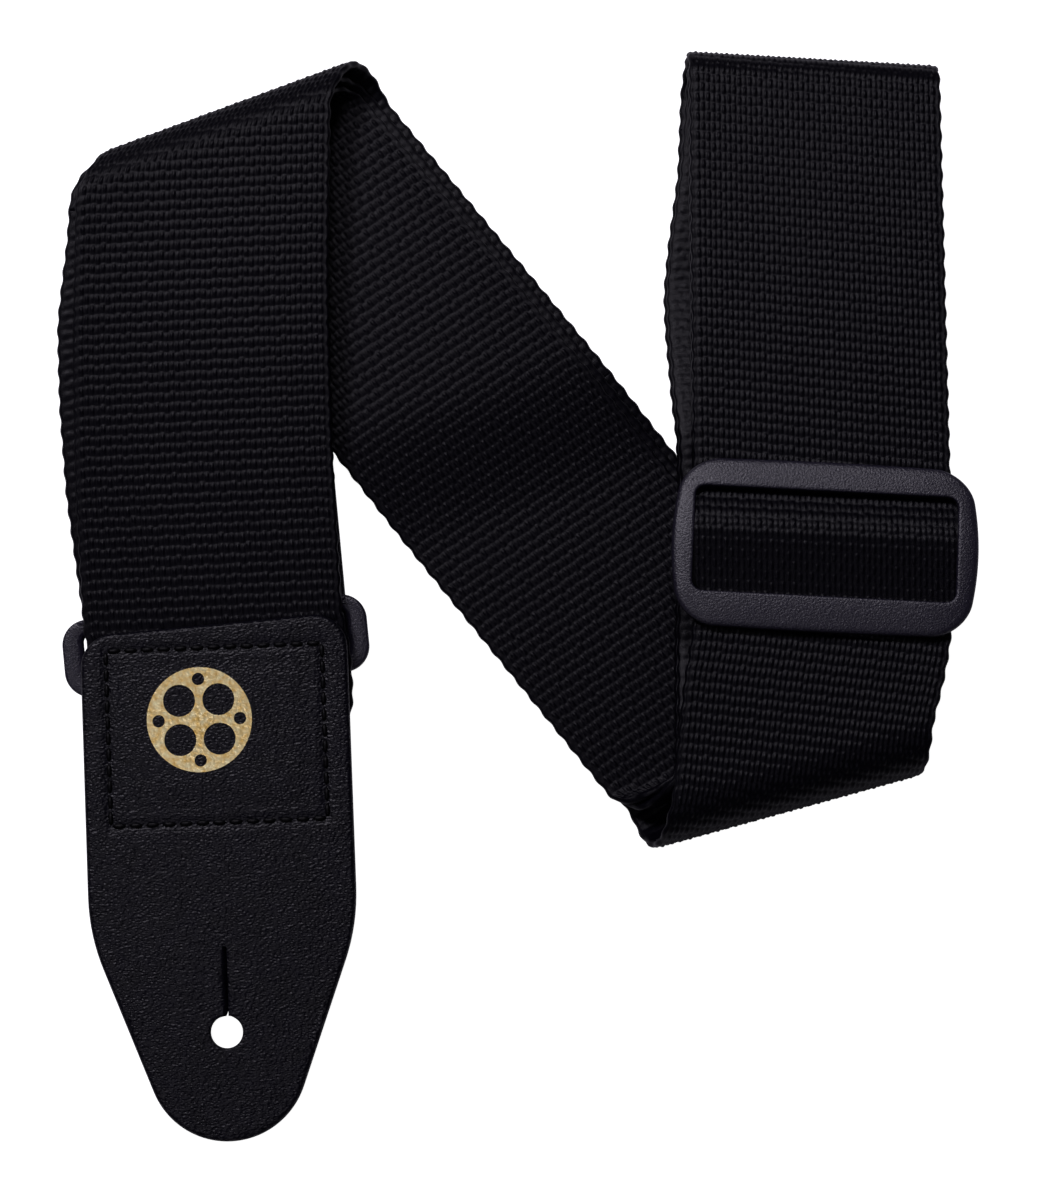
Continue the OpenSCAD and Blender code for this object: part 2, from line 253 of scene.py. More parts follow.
parts_of_line = [front_line, layer(0), run_line, top_turn(5, (RUN_Z - 0.8) / 2, 89.5, RUN_Z),
    right_back(2)[::-1], layer(2)[::-1], left_run(ring_turn[0], 2, LEFT_BACK_X)[::-1], ring_turn[1:-1],
    left_run(ring_turn[-1], 1, LEFT_BACK_X), layer(1), right_back(1),
    top_turn(3.2, (9.8 - 2.55) / 2, RUN_X - WEB_W / 2, 9.8)[::-1],
    [flat_pair(RUN_X - WEB_W / 2, 180, 9.8), flat_pair(RUN_X - WEB_W / 2, 160, 10.2),
        flat_pair(RUN_X - WEB_W / 2, 140, 11.2)], sewn]

STEP, LINES = 0.25, 17


class Path:
    """Even rows along a strip, from its left and right edges at each station."""

    def __init__(self, stations, soft=1.4):
        st = np.array(stations, float)
        f = np.linspace(0, 1, LINES)
        grid = st[:, :1] * (1 - f)[None, :, None] + st[:, 1:] * f[None, :, None]
        seg = np.linalg.norm(np.diff(grid, axis=0), axis=2)
        cum = np.vstack([np.zeros(LINES), np.cumsum(seg, axis=0)])
        self.marks = cum[:, LINES // 2]
        ends = cum[-1]
        self.length = float(ends[LINES // 2])
        n = int(self.length / STEP) + 1
        rows = np.empty((n, LINES, 3))
        for j in range(LINES):
            s = np.linspace(0, ends[j], n)
            for c in range(3):
                rows[:, j, c] = np.interp(s, cum[:, j], grid[:, j, c])
        k = int(4 * soft / STEP)
        w = np.exp(-0.5 * (np.arange(-k, k + 1) * STEP / soft) ** 2)
        w /= w.sum()
        pad = np.concatenate([2 * rows[:1] - rows[k:0:-1], rows, 2 * rows[-1:] - rows[-2:-k - 2:-1]])
        self.rows = sum(w[i] * pad[i:i + n] for i in range(2 * k + 1))
        self.s = np.linspace(0, self.length, n)
        d = np.gradient(self.rows, axis=0)
        e = np.gradient(self.rows, axis=1)
        nn = np.cross(e, d)
        self.normal = nn / np.linalg.norm(nn, axis=2, keepdims=True)
        self.side = e / np.linalg.norm(e, axis=2, keepdims=True)

    def sample(self, field, s, f):
        """The field's value at distance s along the strip and share f across it."""
        si = np.clip(s / (self.length / (len(self.s) - 1)), 0, len(self.s) - 1.001)
        fi = np.clip(f * (LINES - 1), 0, LINES - 1.001)
        i, j = si.astype(int), fi.astype(int)
        a, b = (si - i)[..., None], (fi - j)[..., None]
        return (field[i, j] * (1 - a) * (1 - b) + field[i + 1, j] * a * (1 - b)
            + field[i, j + 1] * (1 - a) * b + field[i + 1, j + 1] * a * b)


ROW, COL = 2.05, 1.05


def weave(s, v):
    """Height of the weave above the webbing's mean face, mm."""
    col = np.floor(v / COL)
    cf = v / COL - col - 0.5
    wob = 0.12 * np.sin(col * 2.4) + 0.1 * np.sin(s * 0.35 + col * 1.3)
    row = (s + wob) / ROW
    ridge = np.abs(np.sin(np.pi * row)) ** 0.8
    yarn = 0.5 + 0.5 * np.cos(2 * np.pi * cf)
    over = np.cos(np.pi * (np.floor(row) + col))
    h = ridge * (0.08 + 0.92 * yarn) * (0.27 + 0.06 * over)
    edge = np.clip((np.abs(v) - (WEB_W / 2 - 1.4)) / 0.5, 0, 1)
    fine = 0.11 * (0.5 + 0.5 * np.cos(2 * np.pi * v / 0.75)) * np.abs(np.sin(np.pi * (row + 0.25)))
    return h * (1 - edge) + fine * edge - 0.1


def link(name, verts, faces, uv=None, flat=False):
    me = bpy.data.meshes.new(name)
    verts = np.asarray(verts, np.float32) * MM
    faces = [np.asarray(f, np.int32) for f in faces if len(f)]
    me.vertices.add(len(verts))
    me.vertices.foreach_set("co", verts.ravel())
    total = sum(f.size for f in faces)
    me.loops.add(total)
    me.loops.foreach_set("vertex_index", np.concatenate([f.ravel() for f in faces]))
    count = sum(len(f) for f in faces)
    me.polygons.add(count)
    sizes = np.concatenate([np.full(len(f), f.shape[1], np.int32) for f in faces])
    me.polygons.foreach_set("loop_start", np.concatenate([[0], np.cumsum(sizes)[:-1]]).astype(np.int32))
    me.update(calc_edges=True)
    me.validate()
    me.polygons.foreach_set("use_smooth", np.full(len(me.polygons), not flat))
    if uv is not None:
        layer_uv = me.uv_layers.new(name="Along")
        idx = np.empty(len(me.loops), np.int32)
        me.loops.foreach_get("vertex_index", idx)
        layer_uv.data.foreach_set("uv", (np.asarray(uv, np.float32)[idx]).ravel())
    ob = bpy.data.objects.new(name, me)
    bpy.context.scene.collection.objects.link(ob)
    return ob


def tube(name, grid, uv=None):
    """A closed strip: rows of a loop of points, with end caps."""
    n, m = grid.shape[:2]
    i, j = np.meshgrid(np.arange(n - 1), np.arange(m), indexing="ij")
    k = (j + 1) % m
    quads = np.stack([i * m + j, (i + 1) * m + j, (i + 1) * m + k, i * m + k], -1).reshape(-1, 4)
    caps = []
    half = m // 2
    for base in (0, (n - 1) * m):
        for q in range(half):
            a, b, c, d = q, (q + 1), (m - q - 1) % m, (m - q) % m
            face = [base + a, base + b, base + c, base + d]
            if len(set(face)) == 4:
                caps.append(face if base == 0 else face[::-1])
    ob = link(name, grid.reshape(-1, 3), [quads, np.array(caps)], uv)
    smoothness = np.ones(len(ob.data.polygons), bool)
    smoothness[len(quads):] = False
    ob.data.polygons.foreach_set("use_smooth", smoothness)
    return ob


def strip(name, path, s0, s1, step=0.27, fine=True, lean=1.0, thick=WEB_T):
    """Webbing between two distances along a path; fine has the weave on its upper face in full."""
    n = max(int((s1 - s0) / step), 8) + 1
    s = np.linspace(s0, s1, n)
    top, low = (246 if fine else 100), 100  # points across the upper and lower face
    q = np.linspace(-1, 1, top)
    v_top = np.sign(q) * (1 - (1 - np.abs(q)) ** 1.06) * WEB_W / 2
    v_low = np.linspace(1, -1, low)[1:-1] * WEB_W / 2
    v = np.concatenate([v_top, v_low])
    sign = np.concatenate([np.ones(top), -np.ones(low - 2)])
    S, V = np.meshgrid(s, v, indexing="ij")
    G = np.broadcast_to(sign, S.shape)
    rim = np.clip((WEB_W / 2 - np.abs(V)) / 0.75, 0, 1)
    prof = np.sqrt(1 - (1 - rim) ** 2)
    relief = weave(S, V) * prof
    near_edge = np.clip((np.abs(V) - WEB_W / 2 + 3) / 3, 0, 1)
    scallop = 0.15 * np.cos(2 * np.pi * S / (2 * ROW)) * near_edge * np.sign(V)
    F = V / WEB_W + 0.5
    P = path.sample(path.rows, S, F)
    N = path.sample(path.normal, S, F)
    E = path.sample(path.side, S, F)
    rise = G * (thick / 2 * 0.96 * prof + relief * lean)
    shift = scallop - 0.12 * np.sign(V) * (1 - rim)
    out = P + N * rise[..., None] + E * shift[..., None]
    return tube(name, out, np.stack([S, V], -1).reshape(-1, 2))


# ---------------------------------------------------------------- materials
def material(name, colour, rough, spec=0.5, metal=0.0):
    m = bpy.data.materials.new(name)
    m.use_nodes = True
    b = m.node_tree.nodes["Principled BSDF"]
    b.inputs["Base Color"].default_value = (*colour, 1)
    b.inputs["Roughness"].default_value = rough
    b.inputs["Metallic"].default_value = metal
    b.inputs["Specular IOR Level"].default_value = spec
    return m, m.node_tree, b


def noise(tree, scale, detail=3, vector=None):
    n = tree.nodes.new("ShaderNodeTexNoise")
    n.inputs["Scale"].default_value = scale
    n.inputs["Detail"].default_value = detail
    if vector is None:
        vector = tree.nodes.new("ShaderNodeTexCoord").outputs["Object"]
    tree.links.new(vector, n.inputs["Vector"])
    return n.outputs["Fac"]


def tint(tree, fac, lo, hi, socket):
    r = tree.nodes.new("ShaderNodeValToRGB")
    r.color_ramp.elements[0].position, r.color_ramp.elements[1].position = 0.3, 0.7
    r.color_ramp.elements[0].color, r.color_ramp.elements[1].color = (*lo, 1), (*hi, 1)
    tree.links.new(fac, r.inputs["Fac"])
    tree.links.new(r.outputs["Color"], socket)


def bump(tree, fac, distance, strength, bsdf):
    b = tree.nodes.new("ShaderNodeBump")
    b.inputs["Distance"].default_value = distance
    b.inputs["Strength"].default_value = strength
    tree.links.new(fac, b.inputs["Height"])
    tree.links.new(b.outputs["Normal"], bsdf.inputs["Normal"])


def make_materials():
    out = {}
    m, t, b = material("webbing", (0.0012, 0.001, 0.002), 0.36, 0.1)
    uv = t.nodes.new("ShaderNodeUVMap")
    uv.uv_map = "Along"
    mp = t.nodes.new("ShaderNodeMapping")
    mp.inputs["Scale"].default_value = (1.0, 9.0, 1.0)
    t.links.new(uv.outputs["UV"], mp.inputs["Vector"])
    fibre = noise(t, 1.2, 2, mp.outputs["Vector"])
    tint(t, fibre, (0.0003, 0.0002, 0.001), (0.0018, 0.0014, 0.0038), b.inputs["Base Color"])
    bump(t, fibre, 0.0001, 0.5, b)
    out["webbing"] = m
    m, t, b = material("plastic", (0.01, 0.009, 0.014), 0.36, 0.48)
    grain = noise(t, 2600, 3)
    tint(t, grain, (0.006, 0.005, 0.011), (0.014, 0.0122, 0.0235), b.inputs["Base Color"])
    bump(t, grain, 0.00018, 0.8, b)
    out["plastic"] = m
    m, t, b = material("leather", (0.003, 0.0026, 0.0045), 0.36, 0.2)
    vor = t.nodes.new("ShaderNodeTexVoronoi")
    vor.inputs["Scale"].default_value = 2200
    vor.feature = "SMOOTH_F1"
    warp = t.nodes.new("ShaderNodeMapping")
    warp.inputs["Scale"].default_value = (0.8, 1.25, 1.0)
    t.links.new(t.nodes.new("ShaderNodeTexCoord").outputs["Object"], warp.inputs["Vector"])
    t.links.new(warp.outputs["Vector"], vor.inputs["Vector"])
    tint(t, noise(t, 260, 4), (0.0006, 0.0004, 0.0022), (0.0018, 0.0014, 0.0048), b.inputs["Base Color"])
    bump(t, vor.outputs["Distance"], 0.00024, 0.8, b)
    out["leather"] = m
    m, t, b = material("thread", (0.0008, 0.0007, 0.0012), 0.45, 0.12)
    bump(t, noise(t, 5000, 2), 0.00008, 0.5, b)
    out["thread"] = m
    m, t, b = material("foil", (0.95, 0.78, 0.36), 0.3, 0.6, 0.55)
    tint(t, noise(t, 900, 3), (0.86, 0.56, 0.14), (1.0, 0.9, 0.5), b.inputs["Base Color"])
    bump(t, noise(t, 1500, 2), 0.0002, 0.7, b)
    out["foil"] = m
    return out


MAT = make_materials()


def dress(ob, kind):
    ob.data.materials.clear()
    ob.data.materials.append(MAT[kind])
    return ob


# ---------------------------------------------------------------- webbing pieces
line = [st for part in parts_of_line for st in part]
counts = np.cumsum([len(p) for p in parts_of_line])
master = Path(line)
end_of = [float(master.marks[c - 1]) for c in counts]
sewn_s = end_of[11] + 3


def valley(s):
    """The nearest low line of the weave, where a join between two pieces hides."""
    return round(float(s) / ROW) * ROW


# Where the line is cut into pieces.
cut_low = valley(master.marks[counts[0] + 36])
cut_top = valley(end_of[3] + 6)
cut_back = valley(master.marks[counts[3] + 8])
cut_left = valley(end_of[5])
cut_mid = valley(end_of[8])
cut_right = valley(master.marks[counts[9] + 1])

ob = dress(strip("web_front", master, 0, cut_low), "webbing")
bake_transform(ob)
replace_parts(ob, "webbing_front_end")
fine_step = 0.27
cuts = [("web_right_run", cut_low, cut_top, fine_step, True),
    ("web_right_back", cut_top, cut_back, 0.3, True),
    ("web_diagonal", cut_back, cut_left, fine_step, True),
    ("web_left_back", cut_left, cut_mid, 0.45, False),
    ("web_middle", cut_mid, cut_right, 0.45, False),
    ("web_right_middle", cut_right, sewn_s, 0.5, False)]
for name, s0, s1, step, fine in cuts:
    ob = dress(strip(name, master, s0, s1, step, fine), "webbing")
    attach(ob, "strap")
    if name == "web_right_run":
        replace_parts(ob, "main_webbing")
ob = dress(strip("web_sewn_end", master, sewn_s, master.length, 0.45, False), "webbing")
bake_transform(ob)
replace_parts(ob, "webbing_sewn_end")

leg_low = REAR_Z + TAB_T / 2 + 0.1 + WEB_T / 2
leg_high = leg_low + WEB_T + 0.05
keep = [across(114, leg_low), across(95, leg_low), across(76, leg_low), across(71.5, leg_low + 0.05),
    across(68.3, leg_low + 1), across(66.95, leg_low + 2.5)]
low_turn = [(cosd(180 - 15 * i), sind(180 - 15 * i)) for i in range(13)]
keep += [across(LOW_Y + TURN_R * c, LOW_Z + TURN_R * s) for c, s in low_turn]
keep += [across(72.3, leg_high + 1.1), across(74.2, leg_high + 0.2)]
keep += [across(y, leg_high) for y in (77, 95, 114)]
keeper = Path(keep, 0.5)
ob = dress(strip("ring_keeper_web", keeper, 0, keeper.length, 0.3, False), "webbing")
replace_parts(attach(ob, "rear_end"), "ring_keeper")


# ---------------------------------------------------------------- leather tabs
def arc(x, y, r, a0, a1, n):
    return [(x + r * cosd(lerp(a0, a1, i / n)), y + r * sind(lerp(a0, a1, i / n))) for i in range(n + 1)]


def resample(loop, step):
    p = np.array(loop + loop[:1], float)
    d = np.concatenate([[0], np.cumsum(np.linalg.norm(np.diff(p, axis=0), axis=1))])
    s = np.linspace(0, d[-1], max(int(d[-1] / step), 8) + 1)[:-1]
    return np.stack([np.interp(s, d, p[:, 0]), np.interp(s, d, p[:, 1])], -1)


def inside(poly, pts):
    x, y = pts[:, 0], pts[:, 1]
    hit = np.zeros(len(pts), bool)
    for (x0, y0), (x1, y1) in zip(poly, np.roll(poly, -1, axis=0)):
        c = (y0 > y) != (y1 > y)
        hit ^= c & (x < (x1 - x0) * (y - y0) / ((y1 - y0) if y1 != y0 else 1e-9) + x0)
    return hit


def normals2(loop):
    t = np.roll(loop, -1, axis=0) - np.roll(loop, 1, axis=0)
    t /= np.linalg.norm(t, axis=1, keepdims=True)
    return np.stack([t[:, 1], -t[:, 0]], -1)


def keyhole():
    """The pin hole with its slit as one loop, anticlockwise."""
    a = math.degrees(math.asin(SLIT_W / 2 / HOLE_R))
    w = SLIT_W / 2
    top = math.sqrt(HOLE_R ** 2 - w ** 2) + SLIT_L
    right = [(w, lerp(HOLE_R, top, k / 14)) for k in range(1, 14)]
    left = [(-w, lerp(top, HOLE_R, k / 14)) for k in range(1, 14)]
    return arc(0, 0, HOLE_R, 90 + a, 450 - a, 60) + right + arc(0, top, w, 10, 170, 4) + left


def box_sdf(x, y, cx, cy, w, h):
    """Distance from a box's edge, below zero inside it."""
    dx, dy = np.abs(x - cx) - w / 2, np.abs(y - cy) - h / 2
    return np.minimum(np.maximum(dx, dy), 0) + np.hypot(np.maximum(dx, 0), np.maximum(dy, 0))


def leather(top, slope, box):
    """A tab about its pin hole: z up off its grain side."""
    h, c = TAB_W / 2, 6.5
    outline = (arc(0, 15.5 - TAB_TIP, 15.5, 200.5, 339.5, 40) + arc(h - 40, 27, 40, -21, 0, 8)
        + arc(h - c, top - c + slope * (h - c), c, 0, 90, 14)
        + arc(-h + c, top - c - slope * (h - c), c, 90, 180, 14) + arc(-h + 40, 27, 40, 180, 201, 8))
    outer = resample(outline, 0.9)
    hole = np.array(keyhole())
    on, hn = normals2(outer), normals2(hole)
    prof = [(0.95, 1.0), (0.62, 0.97), (0.36, 0.86), (0.16, 0.66), (0.03, 0.36), (0.0, 0.0)]
    half = TAB_T / 2

    def rounded(loop, nrm, sign, reach):
        rings = [loop + nrm * (-sign * reach * u) for u, _ in prof]
        return rings, [half * z for _, z in prof]

    o_rings, zs = rounded(outer, on, 1, 1.0)
    h_rings, _ = rounded(hole, hn, -1, 0.28)
    o_in, h_in = o_rings[0], h_rings[0]
    gx, gy = np.meshgrid(np.arange(-h, h, 0.7), np.arange(-TAB_TIP, top + 4, 0.7), indexing="ij")
    g = np.stack([gx.ravel(), gy.ravel()], -1) + rng.uniform(-0.05, 0.05, (gx.size, 2))
    deep = inside(o_in * 0.985 + np.array([0, 0.012 * top * 0.5]), g) & ~inside(hole + hn * 0.5, g)
    by_slit = (np.abs(g[:, 0]) < 0.75) & (g[:, 1] > 0) & (g[:, 1] < HOLE_R + SLIT_L + 1)
    deep &= ~by_slit
    g = g[deep & inside(o_in, g)]
    pts = np.vstack([o_in, h_in, g])
    no, nh = len(o_in), len(h_in)
    edges = [(i, (i + 1) % no) for i in range(no)] + [(no + i, no + (i + 1) % nh) for i in range(nh)]
    res = delaunay_2d_cdt([Vector(p) for p in pts], edges, [], 0, 1e-5)
    vs = np.array([tuple(v) for v in res[0]])
    fs = np.array(res[2])
    mid = vs[fs].mean(axis=1)
    fs = fs[inside(o_in, mid) & ~inside(h_in, mid)]
    orig = {}
    for new, olds in enumerate(res[3]):
        for o in olds:
            orig[o] = new
    x, y = vs[:, 0], vs[:, 1]
    z = np.full(len(vs), half)
    bx, by, bw, bh = box
    d = box_sdf(x, y, bx, by, bw, bh)
    z = z - 0.3 * np.exp(-(d / 0.75) ** 2) + 0.02 * np.sin(x * 0.31 + 1) * np.sin(y * 0.23)
    z = z - 0.1 * np.exp(-((d + 3) / 2.0) ** 2)
    verts = [np.column_stack([x, y, z]), np.column_stack([x, y, -np.full(len(x), half)])]
    nv = len(vs)
    faces = [fs, fs[:, ::-1] + nv]
    base = 2 * nv

    def wall(ids, rings, flip, curve=0.0):
        """The rounded side between the two faces; curve bends the slit's walls sideways."""
        nonlocal base
        upper = list(zip(rings[1:], zs[1:]))
        full = upper + [(r, -q) for r, q in upper[-2::-1]]
        m = len(ids)
        chain = [np.array(ids)]
        for r, q in full:
            turned = curve * (1 - (q / half) ** 2) * np.clip((r[:, 1] - HOLE_R + 0.3) / 0.7, 0, 1)
            verts.append(np.column_stack([r[:, 0] + turned, r[:, 1], np.full(m, q)]))
            chain.append(np.arange(base, base + m))
            base += m
        chain.append(np.array(ids) + nv)
        for a, b in zip(chain[:-1], chain[1:]):
            q = np.stack([a, b, np.roll(b, -1), np.roll(a, -1)], -1)
            faces.append(q[:, ::-1] if flip else q)

    wall([orig[i] for i in range(no)], o_rings, False)
    wall([orig[no + i] for i in range(nh)], h_rings, True, 0.75)
    return np.vstack(verts), faces


def to_front(p):
    p = np.asarray(p, float)
    c, s = cosd(TAB_PITCH), sind(TAB_PITCH)
    y, z = p[:, 1] * c - p[:, 2] * s, p[:, 1] * s + p[:, 2] * c
    c, s = cosd(TAB_YAW), sind(TAB_YAW)
    return np.column_stack([p[:, 0] * c - y * s, p[:, 0] * s + y * c, z])


def to_rear(p):
    """The rear tab is face down, its tip pointing up the strap."""
    p = np.asarray(p, float)
    x, y, z = p[:, 0], REAR_HOLE - PIVOT[1] - p[:, 1], REAR_Z - BASE - p[:, 2]
    c, s = cosd(RING_YAW), sind(RING_YAW)
    return np.column_stack([PIVOT[0] + x * c - y * s, PIVOT[1] + x * s + y * c, z])


def stitch_rows(cx, cy, w, h, pitch=3.2):
    """Middle and turn of each stitch round a box."""
    out = []
    for length, apart, turn in ((w, h, 0), (h, w, 90)):
        count = round(length / pitch)
        for s in (-1, 1):
            for i in range(count):
                t = (i + 0.5 - count / 2) * length / count
                x, y = (t, s * apart / 2) if turn == 0 else (s * apart / 2, t)
                out.append((cx + x, cy + y, turn))
    return out


def stitch_mesh(name, rows, z, place, length=2.7):
    verts, quads, tris = [], [], []
    n, m = 9, 8
    for cx, cy, turn in rows:
        turn += random.uniform(-3, 3)
        b = len(verts)
        for i in range(n):
            u = -1 + 2 * i / (n - 1)
            r = 0.47 * math.sqrt(max(1 - abs(u) ** 3.0, 0.02)) * (1 + 0.07 * math.sin(9 * u))
            sag = -0.32 * abs(u) ** 3
            for j in range(m):
                a = 360 * j / m
                x, y = u * length / 2, r * cosd(a)
                px = cx + x * cosd(turn) - y * sind(turn)
                py = cy + x * sind(turn) + y * cosd(turn)
                verts.append((px, py, z + sag + 0.75 * r * sind(a)))
        for i in range(n - 1):
            for j in range(m):
                k = (j + 1) % m
                row, far = b + i * m, b + (i + 1) * m
                quads.append((row + j, far + j, far + k, row + k))
        last = b + (n - 1) * m
        for j in range(1, m - 1):
            tris += [(b, b + j, b + j + 1), (last, last + j + 1, last + j)]
    return link(name, place(np.array(verts)), [np.array(quads), np.array(tris)])


FRONT_BOX = (0.0, 57.5, 42.0, 34.0)
REAR_BOX = (0.0, REAR_HOLE - 100.0, 42.0, 22.0)
v, f = leather(TAB_TOP, tand(EDGE_TURN), FRONT_BOX)
ob = dress(link("front_tab_leather", to_front(v), f), "leather")
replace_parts(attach(ob, "front_end"), "front_tab")
v, f = leather(REAR_HOLE - REAR_EDGE, 0.0, REAR_BOX)
ob = dress(link("rear_tab_leather", to_rear(v), f), "leather")
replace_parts(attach(ob, "rear_end"), "rear_tab")
ob = dress(stitch_mesh("front_stitches", stitch_rows(*FRONT_BOX), TAB_T / 2 - 0.05, to_front), "thread")
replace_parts(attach(ob, "front_end"), "front_needle_thread")
ob = dress(stitch_mesh("rear_stitches", stitch_rows(*REAR_BOX), TAB_T / 2 - 0.1, to_rear), "thread")
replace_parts(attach(ob, "rear_end"), "rear_needle_thread")


# ---------------------------------------------------------------- slider
SLIDER_X = RUN_X + 0.2


def slider_at(p):
    """From the slider's own frame to the strap's."""
    p = np.asarray(p, float)
    c, s = cosd(SLIDER_YAW), sind(SLIDER_YAW)
    x, y = p[:, 0] * c - p[:, 1] * s, p[:, 0] * s + p[:, 1] * c
    return np.column_stack([SLIDER_X + x, SLIDER_Y + y, p[:, 2] - BASE])


def ring_mesh(name, rings, place):
    """A closed ring swept from the loops of its cross-section."""
    grid = np.stack(rings, 1)
    n, m = grid.shape[:2]
    i, j = np.meshgrid(np.arange(n), np.arange(m), indexing="ij")
    i2, j2 = (i + 1) % n, (j + 1) % m
    quads = np.stack([i * m + j, i2 * m + j, i2 * m + j2, i * m + j2], -1).reshape(-1, 4)
    return dress(link(name, place(grid.reshape(-1, 3)), [quads]), "plastic")


def round_box_radius(ang, w, h, r, swell=0.0, bow=0.0):
    """Distance from the middle to a rounded box's edge along each angle."""
    lo, hi = np.zeros_like(ang), np.full_like(ang, 60.0)
    for _ in range(40):
        m = (lo + hi) / 2
        x, y = m * np.cos(ang), m * np.sin(ang)
        hw = w / 2 - swell * np.minimum(np.abs(y) / (h / 2), 1) ** 2
        hh = h / 2 - bow * np.minimum(np.abs(x) / (w / 2), 1) ** 2
        dx, dy = np.abs(x) - hw + r, np.abs(y) - hh + r
        d = np.minimum(np.maximum(dx, dy), 0) + np.hypot(np.maximum(dx, 0), np.maximum(dy, 0)) - r
        lo, hi = np.where(d < 0, m, lo), np.where(d < 0, hi, m)
    return lo


def polar(radius):
    """Points at the shared angles."""
    return np.stack([radius * np.cos(ang), radius * np.sin(ang)], -1)


SL_W, SL_H, SL_TOP, SL_LOW = 59.8, 34.0, 19.75, 17.15
SL_WIN_W, SL_WIN_H, SL_WIN_Y = 51.3, 21.0, 0.5
ang = np.linspace(0, 2 * np.pi, 4001)[:-1]
pt = polar(round_box_radius(ang, SL_W, SL_H, 6.5, 2.6, 0.5))
per = np.concatenate([[0], np.cumsum(np.linalg.norm(np.diff(pt, axis=0), axis=1))])
ang = np.interp(np.linspace(0, per[-1], 361)[:-1], per, ang)
outer = polar(round_box_radius(ang, SL_W, SL_H, 6.5, 2.6, 0.5))
window = polar(round_box_radius(ang, SL_WIN_W, SL_WIN_H, 2.0)) + [0, SL_WIN_Y]
outer_n, window_n = normals2(outer), normals2(window)
# Each point of the section: its offset from the loop, below zero into the plastic, and its height.
window_side = [(-0.45, SL_LOW), (0.0, SL_LOW + 0.4), (0.0, SL_TOP - 0.4), (-0.1, SL_TOP - 0.12),
    (-0.34, SL_TOP), (-0.62, SL_TOP + 0.03)]
outer_side = [(-1.3, SL_TOP - 0.32), (-0.75, SL_TOP - 0.46), (-0.34, SL_TOP - 0.68),
    (-0.09, SL_TOP - 1.0), (0.0, SL_TOP - 1.35), (0.0, SL_LOW + 0.3), (-0.3, SL_LOW)]
rings = []
for loops in ([(window - window_n * off, z) for off, z in window_side],
        [(outer + outer_n * off, z) for off, z in outer_side]):
    for loop, z in loops:
        slope = 0.045 * (z - SL_LOW) / (SL_TOP - SL_LOW)
        rings.append(np.column_stack([loop, z - slope * np.sqrt(loop[:, 1] ** 2 + 4)]))
ob = ring_mesh("slider_frame", rings, slider_at)
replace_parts(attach(ob, "adjuster"), "slider")


def bevelled(name, cx, cy, cz, lx, ly, lz, bevel):
    me = bpy.data.meshes.new(name)
    c = [(x, y, z) for x in (-1, 1) for y in (-1, 1) for z in (-1, 1)]
    p = np.array([(cx + x * lx / 2, cy + y * ly / 2, cz + z * lz / 2) for x, y, z in c])
    sides = [(0, 1, 3, 2), (4, 6, 7, 5), (0, 4, 5, 1), (2, 3, 7, 6), (0, 2, 6, 4), (1, 5, 7, 3)]
    me.from_pydata((slider_at(p) * MM).tolist(), [], sides)
    box = bpy.data.objects.new(name, me)
    bpy.context.scene.collection.objects.link(box)
    mod = box.modifiers.new("Bevel", "BEVEL")
    mod.width, mod.segments = bevel * MM, 3
    me.polygons.foreach_set("use_smooth", [True] * 6)
    return dress(box, "plastic")


# ---------------------------------------------------------------- ring
def ring_at(p):
    """From the ring's own frame to the strap's."""
    p = np.asarray(p, float)
    c, s = cosd(RING_TILT), sind(RING_TILT)
    y, z = p[:, 1] * c - p[:, 2] * s, p[:, 1] * s + p[:, 2] * c
    c, s = cosd(RING_YAW), sind(RING_YAW)
    x, y = p[:, 0] * c - y * s, p[:, 0] * s + y * c
    return np.column_stack([PIVOT[0] + x, PIVOT[1] + y, z + (BAR_Z + LOW_Z) / 2 - BASE])


RING_TILT = math.degrees(math.atan2(BAR_Z - LOW_Z, BAR_Y - LOW_Y))
RING_W, RING_WIN_W, RING_BAR_R = 60.0, 51.5, 1.5
ring_h = math.hypot(BAR_Y - LOW_Y, BAR_Z - LOW_Z)
outer = polar(round_box_radius(ang, RING_W, ring_h + 2 * RING_BAR_R, 5.1))
window = polar(round_box_radius(ang, RING_WIN_W, ring_h - 2 * RING_BAR_R, 1.6))
turns = (-90, -60, -30, 0, 30, 60, 90)
rings = []
for loop, sign in ((window, 1), (outer, -1)):
    # The edge's radius: the bars are round, the ends are flat with a small round.
    edge = 1.42 - 0.8 * np.clip((np.abs(loop[:, 0]) - 25.7) / 1.2, 0, 1)
    for a in turns[::sign]:
        flat_z = np.sign(a) * (RING_BAR_R - edge)
        out = loop + normals2(loop) * (sign * edge * (1 - cosd(a)))[:, None]
        rings.append(np.column_stack([out, flat_z + edge * sind(a)]))
ob = ring_mesh("end_ring_frame", rings, ring_at)
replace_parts(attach(ob, "end_ring"), "ring")

# The slider's hanging centre bar and its two posts.
POST_INSET, SLOT_W = 0.9, 52.4
post_w = (SL_W - SLOT_W) / 2 - POST_INSET
post_low, post_high = 10.8, SL_LOW + 1
for tag, s in (("left", -1), ("right", 1)):
    x, z = s * ((SL_W - post_w) / 2 - POST_INSET), (post_low + post_high) / 2
    post = bevelled("slider_post_" + tag, x, 0.2, z, post_w, 9, post_high - post_low, 0.6)
    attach(post, "adjuster")
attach(bevelled("slider_centre_bar", 0, 0.6, BAR_H, 54.4, 5.8, 2.1, 0.9), "adjuster")

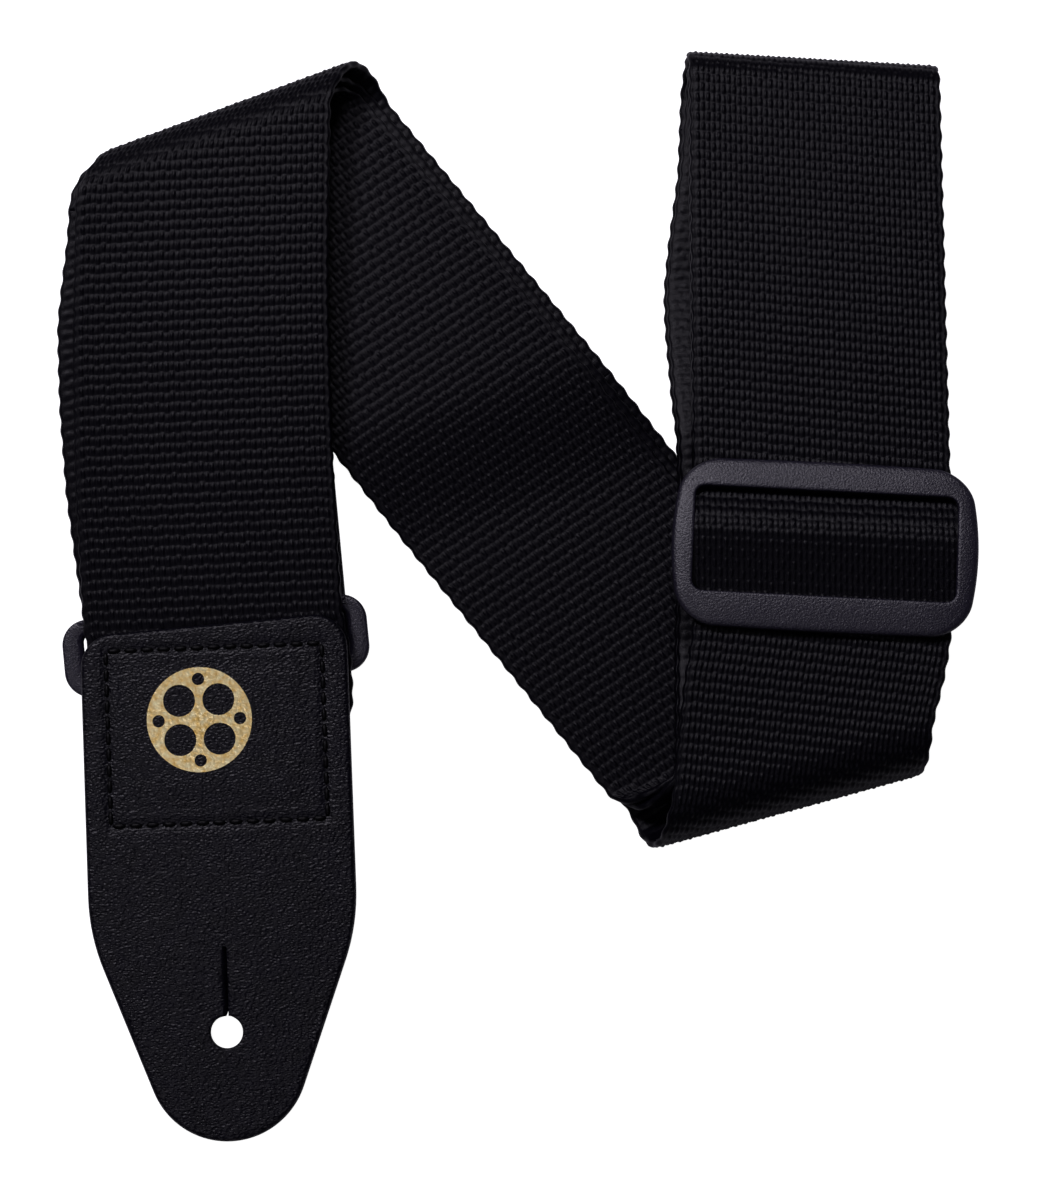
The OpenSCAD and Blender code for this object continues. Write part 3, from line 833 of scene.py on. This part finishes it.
# The running webbing's rise over the centre bar, seen in the window.
HUMP_HALF, HUMP_LOW, HUMP_RISE = 26.8, 16.84, 2.25
hump = []
for y in np.linspace(-13.2, 13.6, 120):
    h = HUMP_LOW + HUMP_RISE * smooth((12.2 - y) / 9.5) * smooth((y + 12.0) / 15.5) - BASE
    skew = HUMP_HALF * tand(-SLIDER_YAW)
    hump.append(tuple((SLIDER_X + s * HUMP_HALF, SLIDER_Y + y - s * skew, h) for s in (-1, 1)))
rise = Path(hump, 0.5)
ob = dress(strip("web_over_bar", rise, 0, rise.length, fine_step, True, 0.8, 0.55), "webbing")
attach(ob, "adjuster")

# ---------------------------------------------------------------- carried-over nodes
dress(nodes["foil_emblem"], "foil")
for node in ("front_bobbin_thread", "rear_bobbin_thread", "slider_needle_thread", "slider_bobbin_thread"):
    dress(nodes[node], "thread")

# ---------------------------------------------------------------- floor, light, camera
FLOOR_Z = -0.0046
bpy.ops.mesh.primitive_plane_add(size=6, location=(0.05, 0.08, FLOOR_Z))
floor = bpy.context.object
floor.name = "floor"
m, t, b = material("floor", (0.7, 0.7, 0.72), 0.9, 0.1)
b.inputs["Emission Color"].default_value = (1, 1, 1, 1)
seen = t.nodes.new("ShaderNodeLightPath")
t.links.new(seen.outputs["Is Camera Ray"], b.inputs["Emission Strength"])
floor.data.materials.append(m)


def lamp(name, place, target, size, power):
    data = bpy.data.lights.new(name, "AREA")
    data.shape, data.size, data.energy = "DISK", size, power
    data.color = (0.92, 0.87, 1.0)
    ob = bpy.data.objects.new(name, data)
    bpy.context.scene.collection.objects.link(ob)
    ob.location = place
    ob.rotation_euler = (Vector(target) - Vector(place)).to_track_quat("-Z", "Y").to_euler()


TARGET = (0.05692, 0.08536, 0.0)
lamp("key", (-0.42, 0.66, 0.98), TARGET, 0.3, 5.6)
lamp("top", (0.03, 0.78, 1.05), TARGET, 0.3, 3.6)
lamp("fill", (-0.2, -0.3, 1.0), TARGET, 0.45, 1.0)
world = bpy.data.worlds.new("World")
bpy.context.scene.world = world
world.use_nodes = True
world.node_tree.nodes["Background"].inputs["Color"].default_value = (1, 1, 1, 1)
world.node_tree.nodes["Background"].inputs["Strength"].default_value = 0.03
bpy.context.scene.view_settings.view_transform = "Standard"

TILT, DISTANCE = 12.0, 0.7
cam_data = bpy.data.cameras.new("Camera")
cam_data.lens, cam_data.sensor_width, cam_data.clip_start = 105.9, 36, 0.05
cam = bpy.data.objects.new("Camera", cam_data)
bpy.context.scene.collection.objects.link(cam)
cam.location = (TARGET[0], TARGET[1] - DISTANCE * sind(TILT), DISTANCE * cosd(TILT))
cam.rotation_euler = (math.radians(TILT), 0, 0)
bpy.context.scene.camera = cam
